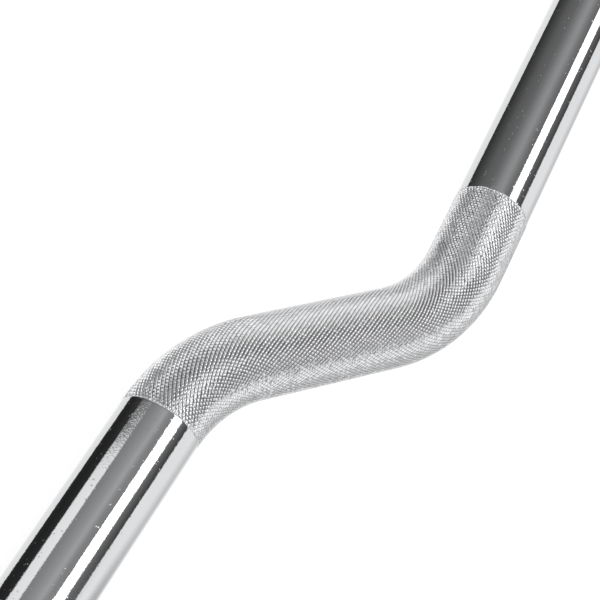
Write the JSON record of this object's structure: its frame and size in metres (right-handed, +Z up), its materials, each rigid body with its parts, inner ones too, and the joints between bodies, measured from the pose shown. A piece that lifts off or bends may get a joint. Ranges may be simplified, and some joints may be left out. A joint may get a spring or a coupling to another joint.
{
  "type": "ez curl bar",
  "caption": "Chromed W-bent curl bar with diamond-knurled angled grips and a freely turning 50 mm sleeve behind a flange on each end.",
  "frame": {"origin": "midpoint of the bar, on the common axis of the two sleeves", "axes": "+X along the bar towards the right sleeve, +Z up; the crests of the bends point towards -Y and down, where they touch the floor together with the two flanges at z = -0.038"},
  "size_m": [1.3312, 0.1156, 0.076],
  "materials": {
    "bar_chrome": "bright chrome plate, with rolled diamond knurling on the grips",
    "sleeve_chrome": "bright chrome plate over fine turning marks",
    "flange_chrome": "bright chrome plate",
    "cap_chrome": "satin chrome, faced in a lathe",
    "seal_rubber": "matt moulded rubber",
    "washer_bronze": "oiled bronze",
    "spring_steel": "phosphated spring steel",
    "bearing_steel": "drawn and ground steel",
    "needle_steel": "polished steel",
    "cage_polymer": "moulded polyamide"
  },
  "bodies": {
    "shaft": {"shaft": "bar_chrome", "left_inner_thrust_washer": "washer_bronze", "left_outer_thrust_washer": "washer_bronze", "left_shaft_circlip": "spring_steel", "right_inner_thrust_washer": "washer_bronze", "right_outer_thrust_washer": "washer_bronze", "right_shaft_circlip": "spring_steel"},
    "left_sleeve_unit": {"left_collar_flange": "flange_chrome", "left_sleeve": "sleeve_chrome", "left_dust_seal": "seal_rubber", "left_inner_bearing_cup": "bearing_steel", "left_outer_bearing_cup": "bearing_steel", "left_end_cap": "cap_chrome", "left_end_cap_circlip": "spring_steel"},
    "left_inner_needle_set": {"left_inner_bearing_cage": "cage_polymer", "left_inner_bearing_needles": "needle_steel"},
    "left_outer_needle_set": {"left_outer_bearing_cage": "cage_polymer", "left_outer_bearing_needles": "needle_steel"},
    "right_sleeve_unit": {"right_collar_flange": "flange_chrome", "right_sleeve": "sleeve_chrome", "right_dust_seal": "seal_rubber", "right_inner_bearing_cup": "bearing_steel", "right_outer_bearing_cup": "bearing_steel", "right_end_cap": "cap_chrome", "right_end_cap_circlip": "spring_steel"},
    "right_inner_needle_set": {"right_inner_bearing_cage": "cage_polymer", "right_inner_bearing_needles": "needle_steel"},
    "right_outer_needle_set": {"right_outer_bearing_cage": "cage_polymer", "right_outer_bearing_needles": "needle_steel"}
  },
  "joints": [
    {"name": "left_sleeve_spin", "type": "hinge", "parent": "shaft", "child": "left_sleeve_unit", "pos_m": [-0.58556, 0, 0], "axis": [1, 0, 0], "continuous": true},
    {"name": "left_inner_needle_set_spin", "type": "hinge", "parent": "shaft", "child": "left_inner_needle_set", "pos_m": [-0.51056, 0, 0], "axis": [1, 0, 0], "continuous": true},
    {"name": "left_outer_needle_set_spin", "type": "hinge", "parent": "shaft", "child": "left_outer_needle_set", "pos_m": [-0.63956, 0, 0], "axis": [1, 0, 0], "continuous": true},
    {"name": "right_sleeve_spin", "type": "hinge", "parent": "shaft", "child": "right_sleeve_unit", "pos_m": [0.58556, 0, 0], "axis": [1, 0, 0], "continuous": true},
    {"name": "right_inner_needle_set_spin", "type": "hinge", "parent": "shaft", "child": "right_inner_needle_set", "pos_m": [0.51056, 0, 0], "axis": [1, 0, 0], "continuous": true},
    {"name": "right_outer_needle_set_spin", "type": "hinge", "parent": "shaft", "child": "right_outer_needle_set", "pos_m": [0.63956, 0, 0], "axis": [1, 0, 0], "continuous": true}
  ],
  "couplings": [
    {"joint": "left_inner_needle_set_spin", "follows": "left_sleeve_spin", "ratio": 0.54167},
    {"joint": "left_outer_needle_set_spin", "follows": "left_sleeve_spin", "ratio": 0.54167},
    {"joint": "right_inner_needle_set_spin", "follows": "right_sleeve_spin", "ratio": 0.54167},
    {"joint": "right_outer_needle_set_spin", "follows": "right_sleeve_spin", "ratio": 0.54167}
  ]
}
